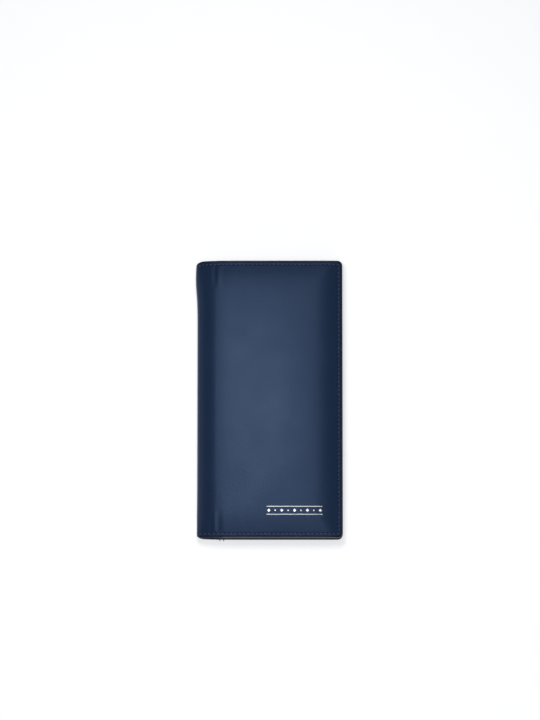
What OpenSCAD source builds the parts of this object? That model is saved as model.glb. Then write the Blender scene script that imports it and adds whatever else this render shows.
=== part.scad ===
// Long wallet: a tall two-fold leather wallet, closed and lying on its back cover.
// X runs from the spine to the opening edge, Y runs up the wallet, and Z runs from the back
// cover to the front cover. The origin is the middle of the face that it lies on.
// Each half is laid out from its own outer face inwards, and the front half is the back half's
// arrangement turned over, so "depth" below is the distance inwards from an outer face.

/* [Closed wallet] */
// Width, from the outside of the spine to the opening edge
closed_width = 95; // [79:1:115]
// Height, along the spine
closed_height = 183; // [153:1:220]
// How far the rounded spine reaches in from the outside before the covers lie flat
spine_depth = 12.5; // [10:0.5:15]
// How far out from the flat covers the spine's two outer folds lie
fold_offset = 6; // [5:0.5:7]
// Radius of the two corners of each cover at the opening edge
corner_radius = 3; // [2:0.5:6]
// Width of the flat sewn margin round each cover
margin_width = 5; // [4:0.5:7]
// Width of the slope from the sewn margin up to the padded face
slope_width = 9; // [6:0.5:12]

/* [Layers of each half] */
// Thickness of the outer leather
cover_thickness = 1.1; // [0.8:0.1:1.5]
// Thickness of the padding behind the outer leather
padding_thickness = 1.2; // [0.8:0.1:2]
// Thickness of the lining
lining_thickness = 0.4; // [0.3:0.1:0.6]
// Room for banknotes between the lining and the page panel
note_pocket_gap = 1.1; // [0.8:0.1:2]
// Thickness of the leather page panel
page_thickness = 1; // [0.7:0.1:1.4]
// Gap left between the two facing pages when the wallet is closed
page_gap = 2.2; // [2:0.1:4]
// Distance from the outside of the spine to the free edge of a page panel
page_setback = 5; // [4.5:0.5:8]

/* [Card pockets] */
// Depth of a card pocket
slot_depth = 45; // [36:1:50]
// Distance from one card pocket's mouth to the next
slot_step = 10.5; // [8:0.5:12]
// Thickness of the skived leather of one card pocket
slot_thickness = 0.4; // [0.3:0.05:0.6]
// Clearance between neighbouring pockets and between a pocket and its page
layer_gap = 0.02; // [0.01:0.01:0.05]
// How far the pockets stay back from the edges that they are sewn to
pocket_inset = 1.2; // [0.8:0.1:2]

/* [Identity window] */
// Width of the leather border round the window
window_border = 7; // [4:0.5:9]
// Thickness of the window's leather frame
window_frame_thickness = 0.8; // [0.5:0.1:1.2]
// Thickness of the clear film
film_thickness = 0.25; // [0.15:0.05:0.4]
// Radius of the window's corners
window_radius = 3; // [1:0.5:4]

/* [Coin pocket] */
// Height of the coin pocket, from its bottom seam to the middle of the zip
coin_pocket_height = 58; // [46:1:64]
// Thickness of the coin pocket's leather
coin_leather_thickness = 0.8; // [0.6:0.1:1.2]
// Thickness of the coin pocket's lining
coin_lining_thickness = 0.25; // [0.2:0.05:0.4]
// Height of the leather strip above the zip
welt_height = 7; // [5:0.5:9]
// Width of the gap in the leather that shows the zip
zip_gap = 7; // [6.5:0.5:9]
// Width of the coin pocket's sewn margin, and of the slope inside it
coin_margin = 4; // [3:0.5:6]

/* [Zip] */
// Distance from each end of the chain to the pocket's side edge
zip_end_margin = 9; // [6:0.5:12]
// Spacing of the teeth along one tape
tooth_pitch = 1.6; // [1.2:0.1:2]
// Thickness of the chain of teeth
tooth_thickness = 1.1; // [0.9:0.1:1.3]
// How far the teeth stand out from the tape
tooth_reach = 1.3; // [1:0.1:1.6]
// Width of one tape
tape_width = 6.5; // [5:0.5:9]
// Thickness of the tape
tape_thickness = 0.4; // [0.3:0.05:0.5]
// Length of the slider
slider_length = 7; // [6:0.5:9]
// Width of the slider at its nose
slider_width = 5.8; // [5:0.1:6.2]
// Thickness of each of the slider's plates
slider_plate = 0.5; // [0.4:0.1:0.7]
// Running clearance between the slider and the chain, and between the slider and its pull
zip_clearance = 0.1; // [0.08:0.01:0.15]
// Length of the pull, from its pivot to its tip
pull_length = 13; // [11:0.5:15]
// Width of the pull at its tip
pull_width = 4.2; // [3:0.1:6]
// Thickness of the pull
pull_thickness = 0.6; // [0.5:0.05:0.7]
// Radius of the post that the pull turns on
post_radius = 0.45; // [0.4:0.05:0.6]
// Thickness of the bar over the two posts
bridge_thickness = 0.35; // [0.3:0.05:0.5]

/* [Stitching] */
// Distance from one stitch to the next
stitch_pitch = 2.8; // [2.2:0.1:4]
// Length of the thread that shows in one stitch
stitch_length = 2.1; // [1.6:0.1:3]
// Width of the thread
thread_width = 0.5; // [0.3:0.05:0.8]
// Height of the thread above the leather
thread_height = 0.3; // [0.2:0.05:0.4]
// Distance from the edge to the line of stitches
stitch_inset = 2.4; // [1.8:0.1:3.2]

/* [Hidden] */
$fn = 48;

// Leather, lining, thread and metal colours
navy = [0.16, 0.22, 0.34];
page_navy = [0.14, 0.19, 0.30];
lining_navy = [0.08, 0.10, 0.16];
thread_navy = [0.25, 0.31, 0.44];
board_grey = [0.55, 0.53, 0.50];
nickel = [0.75, 0.75, 0.77];
clear_film = [0.85, 0.88, 0.90, 0.35];

// Pockets: these counts are fixed, because each one has its own named node
back_slots = 4;
front_slots = 8;

// Levels inwards from an outer face
edge_drop = padding_thickness + note_pocket_gap;
page_base = edge_drop + cover_thickness + lining_thickness;
page_face = page_base + page_thickness;
slot_tilt = asin((slot_thickness + layer_gap) / slot_step);
slot_rise = slot_depth * sin(slot_tilt) + slot_thickness * cos(slot_tilt);
half_thickness = page_face + layer_gap + slot_rise + page_gap / 2;
closed_thickness = 2 * half_thickness;

// Places in plan
spine_start = -closed_width / 2 + spine_depth;
opening_x = closed_width / 2;
top_y = closed_height / 2;
page_left = -closed_width / 2 + page_setback;
pocket_right = opening_x - pocket_inset;
pocket_bottom = -top_y + pocket_inset;
pocket_width = pocket_right - page_left;
padding_blend = 3;

// Spine: it folds along the middle and at fold_offset on each half. fold_turn is how far its
// face has turned there, out of the 90 degrees to the middle. A slit parts the leather at a fold.
fold_angle = asin(fold_offset / spine_depth);
fold_turn = turn_at(fold_angle);
strip_slit = 0.3;
strip_steps = 12;

// Coin pocket and zip: levels inwards from the back cover's outer face
slider_base = page_face + coin_lining_thickness + zip_clearance;
chain_base = slider_base + slider_plate + zip_clearance;
chain_middle = chain_base + tooth_thickness / 2;
slider_top = chain_base + tooth_thickness + zip_clearance + slider_plate;
pull_base = slider_top + zip_clearance;
coin_leather_base = chain_middle + tape_thickness / 2 + layer_gap;
zip_y = pocket_bottom + coin_pocket_height;
welt_top = zip_y + zip_gap / 2 + welt_height;
chain_start = page_left + zip_end_margin;
chain_end = pocket_right - zip_end_margin;
tooth_gap = 0.2;
stop_length = 1.5;
slider_rest_x = chain_start + stop_length + slider_length / 2;
post_offset = 1.6;
back_slot_bottom = welt_top + 0.5;

// Identity window: it fills the page above the front half's first pocket
window_bottom = pocket_bottom + (front_slots - 1) * slot_step + slot_depth + 1;
window_top = top_y - pocket_inset;

// ---- Shared shapes ----

// Places its children in the front half: the same arrangement turned over
module front_half() {
    translate([0, 0, closed_thickness]) mirror([0, 0, 1]) children();
}

// A plan outline whose corners at high x are rounded
module page_outline(left, right, bottom, top, radius) {
    translate([left, bottom]) square([right - left - radius, top - bottom]);
    translate([left, bottom + radius]) square([right - left, top - bottom - 2 * radius]);
    for (y = [bottom + radius, top - radius]) translate([right - radius, y]) circle(radius);
}

// A flat sheet with that outline
module page_sheet(left, right, bottom, top, level, thickness, radius) {
    translate([0, 0, level]) linear_extrude(thickness)
        page_outline(left, right, bottom, top, radius);
}

// A prism whose section lies in X and Z, and runs along Y
module along_y(length) {
    rotate([90, 0, 0]) linear_extrude(length, center = true) children();
}

// A prism whose section lies in Y and Z, and runs along X
module along_x(length) {
    rotate([90, 0, 90]) linear_extrude(length, center = true) children();
}

// The turn of the spine's face at an angle round its ellipse
function turn_at(angle) = atan2(half_thickness * sin(angle), spine_depth * cos(angle));

// Distance from the spine's centre to its tangent at a turn: half an ellipse, turned 0 to 180
function tangent_reach(turn) =
    sqrt(pow(spine_depth * sin(turn), 2) + pow(half_thickness * cos(turn), 2));

// Radius of curvature of the spine's outer face at a turn
function spine_radius(turn) =
    pow(spine_depth * half_thickness, 2) / pow(tangent_reach(turn), 3);

// A point of the spine's section where its face has turned by that much, set in by inset
function spine_point(turn, inset) = [
    spine_start - pow(spine_depth, 2) * sin(turn) / tangent_reach(turn) + inset * sin(turn),
    half_thickness - pow(half_thickness, 2) * cos(turn) / tangent_reach(turn) + inset * cos(turn)
];

// The turn at which leather ends beside the fold at that turn; side is 1 before it, -1 after
function strip_end(turn, side) = turn - side * (strip_slit / 2) / spine_radius(turn) * 180 / PI;

// ---- Outer leather, padding and lining ----

// Half of the closed wallet's section across the spine, inwards from a layer. The layer lies
// at these insets: at the sewn margin, on the padded face, and round the spine.
module across_section(at_edge, on_face, at_spine, reach, wall) {
    last_turn = strip_end(fold_turn, 1);
    round_points = [for (i = [0:strip_steps])
        spine_point(last_turn * i / strip_steps, at_spine)];
    end_point = spine_point(last_turn, at_spine + wall);
    polygon(concat(
        [[opening_x + reach, half_thickness + reach],
         [opening_x + reach, edge_drop + at_edge],
         [opening_x - margin_width, edge_drop + at_edge],
         [opening_x - margin_width - slope_width, on_face],
         [spine_start + padding_blend, on_face]],
        round_points,
        [[end_point[0] - reach, end_point[1]],
         [end_point[0] - reach, half_thickness + reach]]
    ));
}

// The same along the wallet's height
module lengthways_section(at_edge, on_face, reach) {
    margin_y = top_y - margin_width;
    face_y = margin_y - slope_width;
    polygon([
        [-top_y - reach, half_thickness + reach], [-top_y - reach, edge_drop + at_edge],
        [-margin_y, edge_drop + at_edge], [-face_y, on_face],
        [face_y, on_face], [margin_y, edge_drop + at_edge],
        [top_y + reach, edge_drop + at_edge], [top_y + reach, half_thickness + reach]
    ]);
}

// All of a half's space inwards from a layer. wall is the thickness that the layer will have,
// or 0 for the space that is taken away from it, which then runs past the half's edges.
module half_space(at_edge, on_face, at_spine, wall) {
    reach = wall > 0 ? 0 : 1;
    intersection() {
        along_y(closed_height + 2 * reach)
            across_section(at_edge, on_face, at_spine, reach, wall);
        along_x(2 * closed_width) lengthways_section(at_edge, on_face, reach);
    }
}

// One layer of a half, from the spine to the opening edge, with its corners rounded
module cover_layer(at_edge, on_face, at_spine, thickness) {
    difference() {
        intersection() {
            half_space(at_edge, on_face, at_spine, thickness);
            linear_extrude(closed_thickness)
                page_outline(-closed_width, opening_x, -top_y, top_y, corner_radius);
        }
        half_space(at_edge + thickness, on_face + thickness, at_spine + thickness, 0);
    }
}

module cover() {
    color(navy) cover_layer(0, 0, 0, cover_thickness);
}

module lining() {
    color(lining_navy) cover_layer(cover_thickness, cover_thickness + padding_thickness,
                                   cover_thickness, lining_thickness);
}

// The board and foam that fill out the face
module padding() {
    left = spine_start + padding_blend;
    right = opening_x - margin_width - slope_width;
    face_y = top_y - margin_width - slope_width;
    color(board_grey)
        page_sheet(left, right, -face_y, face_y, cover_thickness, padding_thickness, corner_radius);
}

// ---- Spine: the one outer leather and its lining, parted where they fold ----

// The back half's strip, from its outer fold to the middle of the spine
module spine_strip(inset, thickness) {
    first = strip_end(fold_turn, -1);
    last = strip_end(90, 1);
    turns = [for (i = [0:strip_steps]) first + (last - first) * i / strip_steps];
    along_y(closed_height) polygon(concat(
        [for (i = [0:strip_steps]) spine_point(turns[i], inset)],
        [for (i = [strip_steps:-1:0]) spine_point(turns[i], inset + thickness)]
    ));
}

module spine_leather() {
    color(navy) spine_strip(0, cover_thickness);
}

module spine_lining() {
    color(lining_navy) spine_strip(cover_thickness, lining_thickness);
}

// ---- Pages and card pockets ----

module page_panel() {
    color(page_navy)
        page_sheet(page_left, opening_x, -top_y, top_y, page_base, page_thickness, corner_radius);
}

// Places its children on one pocket's skived leather, whose bottom edge is at that height.
// The pockets overlap like roof tiles, so each one leans with its mouth raised.
module on_pocket(bottom) {
    translate([page_left, bottom, page_face + layer_gap]) rotate([slot_tilt, 0, 0]) children();
}

module card_slot(bottom) {
    color(page_navy) on_pocket(bottom) cube([pocket_width, slot_depth, slot_thickness]);
}

function front_slot_bottom(number) = pocket_bottom + (front_slots - number) * slot_step;
function back_slot_bottom_of(number) = back_slot_bottom + (back_slots - number) * slot_step;

// ---- Identity window ----

module window_opening(grow) {
    left = page_left + window_border - grow;
    right = pocket_right - window_border + grow;
    bottom = window_bottom + window_border - grow;
    top = window_top - window_border + grow;
    radius = window_radius;
    translate([left + radius, bottom]) square([right - left - 2 * radius, top - bottom]);
    translate([left, bottom + radius]) square([right - left, top - bottom - 2 * radius]);
    for (x = [left + radius, right - radius]) {
        for (y = [bottom + radius, top - radius]) translate([x, y]) circle(radius);
    }
}

module id_window_frame() {
    color(page_navy)
        translate([0, 0, page_face + 2 * layer_gap + film_thickness])
        linear_extrude(window_frame_thickness) difference() {
            page_outline(page_left, pocket_right, window_bottom, window_top, corner_radius);
            window_opening(0);
        }
}

module id_window_film() {
    overlap = window_border - pocket_inset;
    color(clear_film)
        translate([0, 0, page_face + layer_gap])
        linear_extrude(film_thickness) window_opening(overlap);
}

// ---- Coin pocket ----

// A leather sheet's section across the page: sewn down at both sides and raised over the zip.
// drop_by lowers it by the leather's thickness when the space inside is taken away.
module coin_across(low, high, over) {
    polygon([
        [page_left - over, low], [page_left + coin_margin, low],
        [page_left + 2 * coin_margin, high],
        [pocket_right - 2 * coin_margin, high], [pocket_right - coin_margin, low],
        [pocket_right + over, low], [pocket_right + over, 0], [page_left - over, 0]
    ]);
}

module coin_lengthways(low, high, bottom, top, over) {
    polygon([
        [bottom - over, low], [bottom + coin_margin, low],
        [bottom + 2 * coin_margin, high], [top + over, high],
        [top + over, 0], [bottom - over, 0]
    ]);
}

coin_low = page_face + coin_lining_thickness + 2 * layer_gap;

// The space under a raised sheet, up to the given rise above the sheet's lower face
module coin_space(rise, bottom, top, over) {
    intersection() {
        along_y(2 * closed_height) coin_across(coin_low + rise, coin_leather_base + rise, over);
        along_x(2 * closed_width)
            coin_lengthways(coin_low + rise, coin_leather_base + rise, bottom, top, over);
    }
}

module coin_pocket_panel() {
    top = zip_y - zip_gap / 2;
    color(page_navy) difference() {
        coin_space(coin_leather_thickness, pocket_bottom, top, 0);
        coin_space(0, pocket_bottom, top, 1);
    }
}

// The strip above the zip keeps its raised height all the way up
module zip_welt() {
    bottom = zip_y + zip_gap / 2;
    color(page_navy) translate([0, (bottom + welt_top) / 2, 0]) difference() {
        along_y(welt_height) coin_across(coin_low + coin_leather_thickness,
                                         coin_leather_base + coin_leather_thickness, 0);
        along_y(welt_height + 2) coin_across(coin_low, coin_leather_base, 1);
    }
}

module coin_pocket_lining() {
    color(lining_navy)
        page_sheet(page_left, pocket_right, pocket_bottom, welt_top, page_face + layer_gap,
                   coin_lining_thickness, corner_radius);
}

// ---- Zip ----

// Places its children on the zip's middle line; side is 1 above it and -1 below it
module zip_side(side) {
    translate([0, zip_y, 0]) mirror([0, side > 0 ? 0 : 1, 0]) children();
}

module zip_tape(side) {
    reach = tooth_gap + tooth_reach;
    color(lining_navy) zip_side(side)
        translate([chain_start, reach, chain_middle - tape_thickness / 2])
        cube([chain_end - chain_start, tape_width, tape_thickness]);
}

module zip_teeth(side) {
    first = chain_start + stop_length + (side > 0 ? 0.5 : 1) * tooth_pitch;
    last = chain_end - stop_length - tooth_pitch / 2;
    color(nickel) zip_side(side)
        for (x = [first:tooth_pitch:last])
            translate([x - tooth_pitch / 4, tooth_gap, chain_base])
                cube([tooth_pitch / 2, tooth_reach, tooth_thickness]);
}

module zip_stops() {
    color(nickel) {
        for (side = [-1, 1]) zip_side(side)
            translate([chain_start, tooth_gap, chain_base])
            cube([stop_length - zip_clearance, tooth_reach, tooth_thickness]);
        translate([chain_end - stop_length + zip_clearance, zip_y - tooth_reach - tooth_gap, chain_base])
            cube([stop_length - zip_clearance, 2 * (tooth_reach + tooth_gap), tooth_thickness]);
    }
}

// The slider's plate in plan: wide at the nose, narrower at the tail, with round corners
module slider_outline() {
    radius = slider_length / 7;
    nose_x = -slider_length / 2;
    tail_half = slider_width * 0.38;
    polygon([
        [nose_x + radius, -slider_width / 2], [nose_x + 2 * radius, -slider_width / 2],
        [slider_length / 2 - radius, -tail_half], [slider_length / 2, -tail_half + radius],
        [slider_length / 2, tail_half - radius], [slider_length / 2 - radius, tail_half],
        [nose_x + 2 * radius, slider_width / 2], [nose_x + radius, slider_width / 2],
        [nose_x, slider_width / 2 - radius], [nose_x, -slider_width / 2 + radius]
    ]);
    for (s = [-1, 1]) {
        translate([nose_x + radius, s * (slider_width / 2 - radius)]) circle(radius);
        translate([slider_length / 2 - radius, s * (tail_half - radius)]) circle(radius);
    }
}

// The low wall along each side of a plate, which keeps the teeth in and lets the tape out
module slider_flange() {
    inner = tooth_gap + tooth_reach + zip_clearance;
    difference() {
        slider_outline();
        square([2 * slider_length, 2 * inner], center = true);
    }
}

module zip_slider() {
    tape_room = tape_thickness / 2 + zip_clearance;
    channel = tooth_thickness + 2 * zip_clearance;
    channel_base = chain_base - zip_clearance;
    flange = channel / 2 - tape_room;
    web = tooth_gap;
    color(nickel) translate([slider_rest_x, zip_y, 0]) {
        translate([0, 0, slider_base]) linear_extrude(slider_plate) slider_outline();
        translate([0, 0, channel_base]) linear_extrude(flange) slider_flange();
        translate([0, 0, chain_middle + tape_room]) linear_extrude(flange) slider_flange();
        translate([0, 0, slider_top - slider_plate]) linear_extrude(slider_plate) slider_outline();
        translate([-slider_length / 2 + web, -web / 2, channel_base])
            cube([slider_length / 4, web, channel]);
        for (s = [-1, 1]) translate([s * post_offset, 0, slider_top])
            cylinder(h = pull_thickness + 2 * zip_clearance, r = post_radius);
        translate([0, 0, pull_base + pull_thickness + zip_clearance])
            linear_extrude(bridge_thickness) {
                square([2 * post_offset, 2 * post_radius], center = true);
                for (s = [-1, 1]) translate([s * post_offset, 0]) circle(post_radius);
            }
    }
}

// The pull: an eye round the slider's post, and a blade that widens towards its round tip
module zip_pull() {
    hole = post_radius + zip_clearance / 2;
    eye = hole + 1.2;
    tip = pull_width / 2;
    color(nickel) translate([slider_rest_x + post_offset, zip_y, pull_base])
        linear_extrude(pull_thickness) difference() {
            union() {
                circle(eye);
                polygon([[0, -eye * 0.6], [pull_length - tip, -tip], [pull_length - tip, tip],
                         [0, eye * 0.6]]);
                translate([pull_length - tip, 0]) circle(tip);
            }
            circle(hole);
            translate([pull_length - tip, 0]) circle(tip / 3);
        }
}

// ---- Stitching: each stitch is the short length of thread that shows on the leather ----

module stitch(angle) {
    rotate([0, 0, angle])
        cube([stitch_length, thread_width, thread_height], center = true);
}

// A straight run of stitches in plan, from one point to another, with the stitches spread evenly
module stitch_run(from, to, level) {
    length = norm(to - from);
    direction = atan2(to[1] - from[1], to[0] - from[0]);
    count = floor(length / stitch_pitch);
    for (i = [0:count - 1]) {
        place = from + (to - from) * (i + 0.5) / count;
        translate([place[0], place[1], level]) stitch(direction);
    }
}

// Round the three sewn edges of a cover, on its outer face
module edge_stitches() {
    level = edge_drop - thread_height / 2;
    side = opening_x - stitch_inset;
    end = top_y - stitch_inset;
    start = spine_start - fold_offset + stitch_length / 4;
    stitch_run([start, -end], [side, -end], level);
    stitch_run([side, -end + stitch_pitch / 4], [side, end - stitch_pitch / 4], level);
    stitch_run([side, end], [start, end], level);
}

// Down the spine side of a page's pockets, on the part of each pocket that shows
module pocket_stitches(bottoms) {
    for (i = [0:len(bottoms) - 1]) {
        shown = i == len(bottoms) - 1 ? slot_depth : slot_step;
        count = floor(shown / stitch_pitch);
        on_pocket(bottoms[i]) for (k = [0:count - 1])
            translate([stitch_inset - pocket_inset, slot_depth - shown * (k + 0.5) / count,
                       slot_thickness + thread_height / 2]) stitch(90);
    }
}

// The same two rows carried on over the spine
module spine_thread() {
    width = PI / 180 * (90 - fold_angle) * (spine_depth + half_thickness) / 2;
    count = floor(width / stitch_pitch);
    color(thread_navy) for (k = [0:count - 1]) {
        turn = turn_at(fold_angle + (90 - fold_angle) * (k + 0.5) / count);
        place = spine_point(turn, -thread_height / 2);
        for (y = [-1, 1]) translate([place[0], y * (top_y - stitch_inset), place[1]])
            rotate([0, turn, 0])
            cube([stitch_length, thread_width, thread_height], center = true);
    }
}

module back_thread() {
    color(thread_navy) {
        edge_stitches();
        pocket_stitches([for (i = [1:back_slots]) back_slot_bottom_of(i)]);
    }
}

module front_thread() {
    color(thread_navy) {
        edge_stitches();
        pocket_stitches([for (i = [1:front_slots]) front_slot_bottom(i)]);
    }
}

// ---- Nodes ----

cover();  // back_cover
padding();  // back_padding
lining();  // back_lining
page_panel();  // back_page_panel
for (i = [1:back_slots]) {
    card_slot(back_slot_bottom_of(i));
}
coin_pocket_lining();
coin_pocket_panel();
zip_welt();
zip_tape(1);  // zip_tape_upper
zip_tape(-1);  // zip_tape_lower
zip_teeth(1);  // zip_teeth_upper
zip_teeth(-1);  // zip_teeth_lower
zip_stops();
back_thread();
zip_slider();
zip_pull();
spine_leather();  // spine_leather_back
front_half() spine_leather();  // spine_leather_front
spine_lining();  // spine_lining_back
front_half() spine_lining();  // spine_lining_front
spine_thread();  // spine_thread_back
front_half() spine_thread();  // spine_thread_front
front_half() cover();  // front_cover
front_half() padding();  // front_padding
front_half() lining();  // front_lining
front_half() page_panel();  // front_page_panel
for (i = [1:front_slots]) {
    union() {
        front_half() card_slot(front_slot_bottom(i));
    }
}
front_half() id_window_frame();
front_half() id_window_film();
front_half() front_thread();
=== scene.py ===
# %% [markdown]
# # A long wallet, closed on its back cover
# The frame is the imported model of the wallet: one named solid for each part, on bodies that move.
# Every visible piece of the wallet below is made round it, in metres. Most ride on one of its
# bodies; the pieces of the spine's zones ride on none. All the shapes are worked out in millimetres
# first, because a wallet is measured in them.

# %% Load the frame
import math

import bpy
import mathutils
import numpy as np
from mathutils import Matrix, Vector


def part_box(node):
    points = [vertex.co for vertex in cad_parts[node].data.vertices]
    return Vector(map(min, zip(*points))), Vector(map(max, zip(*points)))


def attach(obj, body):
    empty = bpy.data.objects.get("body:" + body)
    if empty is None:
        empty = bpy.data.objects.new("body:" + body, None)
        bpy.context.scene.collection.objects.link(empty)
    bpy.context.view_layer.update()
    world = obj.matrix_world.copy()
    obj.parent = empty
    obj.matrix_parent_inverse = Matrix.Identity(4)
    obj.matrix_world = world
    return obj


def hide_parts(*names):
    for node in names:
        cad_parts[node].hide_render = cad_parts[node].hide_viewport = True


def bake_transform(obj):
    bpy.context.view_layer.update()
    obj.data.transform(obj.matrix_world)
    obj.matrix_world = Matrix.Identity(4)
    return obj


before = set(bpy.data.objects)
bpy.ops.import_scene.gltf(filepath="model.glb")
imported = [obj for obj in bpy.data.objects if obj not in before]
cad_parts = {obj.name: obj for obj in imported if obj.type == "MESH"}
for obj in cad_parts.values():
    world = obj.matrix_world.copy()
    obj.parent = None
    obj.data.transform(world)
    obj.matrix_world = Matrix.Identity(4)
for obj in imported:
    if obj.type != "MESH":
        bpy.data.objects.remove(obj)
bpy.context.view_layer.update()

# %% [markdown]
# ## Sizes
# The sizes that shape the wallet come from the frame's own boxes: its outline from the cover, its
# closed thickness from the two covers together, and the levels of the page and the pockets from
# their solids. What the boxes can't say, such as the radius of a corner, is named here.

# %% Sizes, in millimetres
MM = 0.001


def box_mm(node):
    """The lowest and highest corner of a CAD node, as two arrays in millimetres."""
    low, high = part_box(node)
    return np.array(low) / MM, np.array(high) / MM


cover_high = box_mm("back_cover")[1]
front_high = box_mm("front_cover")[1]
page_low, page_high = box_mm("back_page_panel")
RIGHT, TOP, THICK = cover_high[0], cover_high[1], front_high[2]
MIDDLE = THICK / 2
PAGE_LEFT, PAGE_BASE, PAGE_FACE = page_low[0], page_low[2], page_high[2]
LEATHER, LINING = 1.1, 0.4
SPINE_ROOM, SPINE_DEPTH, ROUND_SPINE = 12.5, 12.45, 33.0
SPINE_X = -RIGHT + SPINE_ROOM
CORNER = 3.0
EDGE_DROP = cover_high[2] - LEATHER
STITCH_INSET, PITCH = 2.4, 2.8
print(f"outline {2 * RIGHT:.1f} x {2 * TOP:.1f}, {THICK:.2f} thick, spine from x {SPINE_X:.1f}")

# %% [markdown]
# ## Meshes from arrays
# A surface is a grid of points that a formula gives, so it becomes a mesh in one call. Most pieces
# here are thin closed walls: an outer grid, an inner grid, and a strip that joins their borders.
# A closed mesh has a volume with a sign, and a negative one says that its faces point inwards, so
# `solid` turns them round when that happens.

# %% Grids and closed solids
def grid_faces(rows, columns, wrap=False):
    """The quads of a grid of points numbered row by row. With wrap, each row is a closed ring."""
    index = np.arange(rows * columns).reshape(rows, columns)
    if wrap:
        index = np.concatenate([index, index[:, :1]], axis=1)
    corners = [index[:-1, :-1], index[1:, :-1], index[1:, 1:], index[:-1, 1:]]
    return np.stack(corners, axis=-1).reshape(-1, 4)


def signed_volume(points, faces):
    """The sum over the faces' triangle fans of a . (b x c) / 6."""
    total = 0.0
    for loop in faces:
        a = points[loop[:, 0]]
        for k in range(1, loop.shape[1] - 1):
            b, c = points[loop[:, k]], points[loop[:, k + 1]]
            total += np.einsum("ij,ij->", a, np.cross(b, c)) / 6
    return total


def solid(name, points, faces, material, cut=None, sharp=50):
    """A closed mesh from points in millimetres and arrays of faces. cut gives each point its place
    on the flat material, in millimetres, which becomes a UV map in metres."""
    if signed_volume(points, faces) < 0:
        faces = [loop[:, ::-1] for loop in faces]
    mesh = bpy.data.meshes.new(name)
    mesh.from_pydata((points * MM).tolist(), [], [list(f) for loop in faces for f in loop.tolist()])
    if cut is not None:
        corner = np.zeros(len(mesh.loops), np.int32)
        mesh.loops.foreach_get("vertex_index", corner)
        layer = mesh.uv_layers.new(name="cut")
        layer.data.foreach_set("uv", (cut[corner] * MM).astype(np.float32).ravel())
    mesh.polygons.foreach_set("use_smooth", np.ones(len(mesh.polygons), bool))
    mesh.set_sharp_from_angle(angle=math.radians(sharp))
    mesh.materials.append(material)
    mesh.validate()
    piece = bpy.data.objects.new(name, mesh)
    bpy.context.scene.collection.objects.link(piece)
    return piece


print("solids ready")

# %% [markdown]
# Two kinds of solid come up again and again: a wall between two grids, such as a piece of leather,
# and a profile carried along a path, such as a bead or a turned strip.

# %% Walls and carried profiles
def shell(name, outer, inner, material, cut=None, sharp=50):
    """A wall between two grids of the same size: a tube of closed rows, shut at both ends."""
    rows, columns = outer.shape[:2]
    ring = np.concatenate([outer, inner[:, ::-1]], axis=1)
    around = grid_faces(rows, 2 * columns, wrap=True)
    j = np.arange(columns - 1)
    start = np.stack([j, j + 1, 2 * columns - 2 - j, 2 * columns - 1 - j], axis=-1)
    end = start[:, ::-1] + (rows - 1) * 2 * columns
    places = None
    if cut is not None:
        places = np.concatenate([cut, cut[:, ::-1]], axis=1).reshape(-1, 2)
    return solid(name, ring.reshape(-1, 3), [around, start, end], material, places, sharp)


def tube(name, rings, material, closed=False, sharp=50, cut=None):
    """A profile carried along a path: rings is an array (along, round, 3). Both ends are shut by
    one face, or the last ring joins the first when closed."""
    along, round_ = rings.shape[:2]
    if closed:
        rings = np.concatenate([rings, rings[:1]])
        faces = grid_faces(along + 1, round_, wrap=True)
        faces = np.where(faces >= along * round_, faces - along * round_, faces)
        return solid(name, rings[:-1].reshape(-1, 3), [faces], material, cut, sharp)
    faces = grid_faces(along, round_, wrap=True)
    start = np.arange(round_)[None, :]
    end = start[:, ::-1] + (along - 1) * round_
    return solid(name, rings.reshape(-1, 3), [faces, start, end], material, cut, sharp)


print("walls and carried profiles ready")

# %% [markdown]
# Stitches and teeth are hundreds of copies of one small shape. One array operation turns and places
# them all, so they make a single mesh.

# %% Many copies of a small shape
def scatter(name, base, faces, places, along, across, up, material):
    """Copies of one small closed shape: each base point (a, b, c) goes to
    place + a * along + b * across + c * up."""
    points = (places[:, None] + base[None, :, :1] * along[:, None]
              + base[None, :, 1:2] * across[:, None] + base[None, :, 2:] * up[:, None])
    shift = (np.arange(len(places)) * len(base))[:, None, None]
    many = [(loop[None] + shift).reshape(-1, loop.shape[1]) for loop in faces]
    return solid(name, points.reshape(-1, 3), many, material)


print("copies ready")

# %% [markdown]
# Four small helpers: a soft step, numbers that crowd towards both ends so that bent rims get more
# points than flat middles, a power that squares a circle, and the lines that tie a piece to its body.

# %% Steps, spacings and bodies
def smooth(value):
    """0 below 0, 1 above 1, and an even S between: 3 t squared - 2 t cubed."""
    t = np.clip(value, 0, 1)
    return t * t * (3 - 2 * t)


def packed(first, last, count, share=0.6):
    """count numbers from first to last, closer together near both ends."""
    t = np.linspace(0, 1, count)
    t = (1 - share) * t + share * (0.5 - 0.5 * np.cos(np.pi * t))
    return first + (last - first) * t


def squared(value, power):
    """A cosine or sine to that power, its sign kept. Below 1 it makes an ellipse squarer."""
    return np.sign(value) * np.abs(value) ** power


def body(piece, name, slot, *nodes):
    """The piece rides on a body and stands for CAD nodes; slot is not used."""
    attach(piece, name)
    if nodes:
        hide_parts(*nodes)
    return piece


print("helpers ready")
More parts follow.
